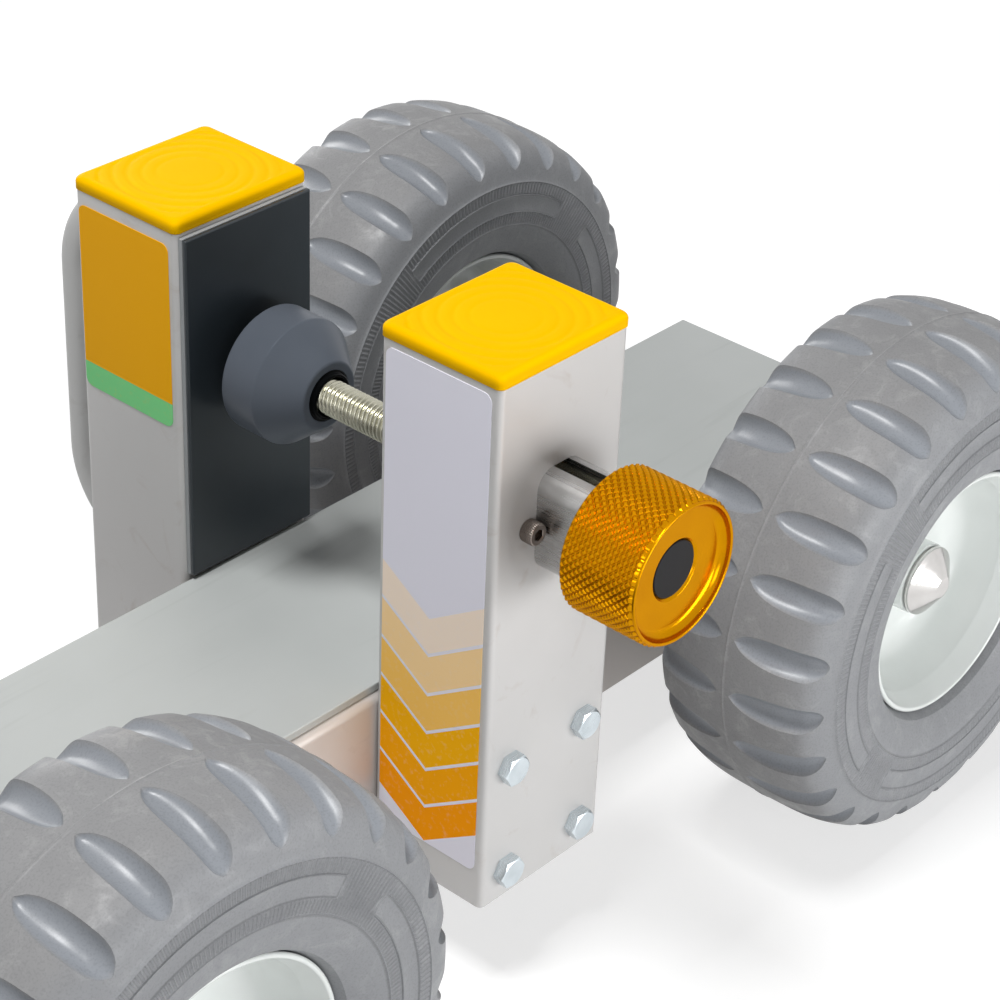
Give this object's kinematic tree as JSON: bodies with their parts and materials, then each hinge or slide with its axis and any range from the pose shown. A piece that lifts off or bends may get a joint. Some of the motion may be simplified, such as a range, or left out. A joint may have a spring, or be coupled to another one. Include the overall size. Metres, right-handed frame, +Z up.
{
  "type": "slab dolly",
  "caption": "Low dolly that carries a stone slab on edge: a channel deck on fat wheels, two posts, and a screw clamp with a knurled knob that presses the slab against a padded post.",
  "frame": {"origin": "on the floor, under the middle of the wheelbase and of the deck's width", "axes": "+X along the deck, -Y towards the knob side, +Z up"},
  "size_m": [0.7012, 0.391, 0.3065],
  "materials": {
    "satin_aluminium": "satin mill finish",
    "deck_mat_vinyl": "satin, faint wipe marks",
    "yellow_plastic": "fine moulded satin",
    "printed_sticker": "printed film",
    "pad_backing": "matte sheet",
    "pad_rubber": "matte cut sheet",
    "zinc_plated_steel": "zinc plated",
    "polished_steel": "polished",
    "puck_plastic": "satin moulded",
    "black_rubber": "matte",
    "gold_anodised_aluminium": "anodised, knurled",
    "dark_disc_plastic": "satin gloss",
    "grey_tyre_foam": "moulded matte",
    "white_enamelled_rim": "gloss enamel",
    "machined_steel": "turned"
  },
  "bodies": {
    "root": {"deck_channel": "satin_aluminium", "front_post": "satin_aluminium", "rear_post": "satin_aluminium", "carry_handle": "satin_aluminium", "deck_mat": "deck_mat_vinyl", "front_cap": "yellow_plastic", "rear_cap": "yellow_plastic", "front_label": "printed_sticker", "rear_label": "printed_sticker", "pad_plate": "pad_backing", "pad_face": "pad_rubber", "front_post_bolts": "zinc_plated_steel", "front_post_nuts": "zinc_plated_steel", "rear_post_bolts": "zinc_plated_steel", "rear_post_nuts": "zinc_plated_steel", "axle_plate_bolts": "zinc_plated_steel", "axle_plate_nuts": "zinc_plated_steel", "tube_screw": "zinc_plated_steel", "handle_screws": "zinc_plated_steel", "clamp_nut": "zinc_plated_steel", "guide_tube": "polished_steel", "front_left_axle_cap": "polished_steel", "front_right_axle_cap": "polished_steel", "rear_left_axle_cap": "polished_steel", "rear_right_axle_cap": "polished_steel", "front_left_stub_axle": "machined_steel", "front_left_axle_washers": "machined_steel", "front_right_stub_axle": "machined_steel", "front_right_axle_washers": "machined_steel", "rear_left_stub_axle": "machined_steel", "rear_left_axle_washers": "machined_steel", "rear_right_stub_axle": "machined_steel", "rear_right_axle_washers": "machined_steel"},
    "puck": {"clamp_puck": "puck_plastic", "puck_grommet": "black_rubber"},
    "screw": {"threaded_rod": "zinc_plated_steel", "clamp_knob": "gold_anodised_aluminium", "knob_insert": "dark_disc_plastic", "knob_screw": "zinc_plated_steel", "puck_snap_ring": "zinc_plated_steel"},
    "front_left_wheel": {"front_left_tyre": "grey_tyre_foam", "front_left_rim": "white_enamelled_rim", "front_left_wheel_disc": "white_enamelled_rim", "front_left_hub_tube": "white_enamelled_rim", "front_left_hub_bearings": "machined_steel"},
    "front_right_wheel": {"front_right_tyre": "grey_tyre_foam", "front_right_rim": "white_enamelled_rim", "front_right_wheel_disc": "white_enamelled_rim", "front_right_hub_tube": "white_enamelled_rim", "front_right_hub_bearings": "machined_steel"},
    "rear_left_wheel": {"rear_left_tyre": "grey_tyre_foam", "rear_left_rim": "white_enamelled_rim", "rear_left_wheel_disc": "white_enamelled_rim", "rear_left_hub_tube": "white_enamelled_rim", "rear_left_hub_bearings": "machined_steel"},
    "rear_right_wheel": {"rear_right_tyre": "grey_tyre_foam", "rear_right_rim": "white_enamelled_rim", "rear_right_wheel_disc": "white_enamelled_rim", "rear_right_hub_tube": "white_enamelled_rim", "rear_right_hub_bearings": "machined_steel"}
  },
  "joints": [
    {"name": "clamp_slide", "type": "slide", "parent": "root", "child": "puck", "axis": [0, 1, 0], "range_m": [-0.06, 0.0112]},
    {"name": "knob_turn", "type": "hinge", "parent": "puck", "child": "screw", "pos_m": [0.02, 0, 0.23], "axis": [0, 1, 0], "range_deg": [-9354, 1746]},
    {"name": "front_left_wheel_spin", "type": "hinge", "parent": "root", "child": "front_left_wheel", "pos_m": [-0.2286, -0.1495, 0.122], "axis": [0, 1, 0], "continuous": true},
    {"name": "front_right_wheel_spin", "type": "hinge", "parent": "root", "child": "front_right_wheel", "pos_m": [0.2286, -0.1495, 0.122], "axis": [0, 1, 0], "continuous": true},
    {"name": "rear_left_wheel_spin", "type": "hinge", "parent": "root", "child": "rear_left_wheel", "pos_m": [-0.2286, 0.1495, 0.122], "axis": [0, 1, 0], "continuous": true},
    {"name": "rear_right_wheel_spin", "type": "hinge", "parent": "root", "child": "rear_right_wheel", "pos_m": [0.2286, 0.1495, 0.122], "axis": [0, 1, 0], "continuous": true}
  ],
  "couplings": [
    {"joint": "clamp_slide", "follows": "knob_turn", "m_per_rad": 0.0003675}
  ]
}
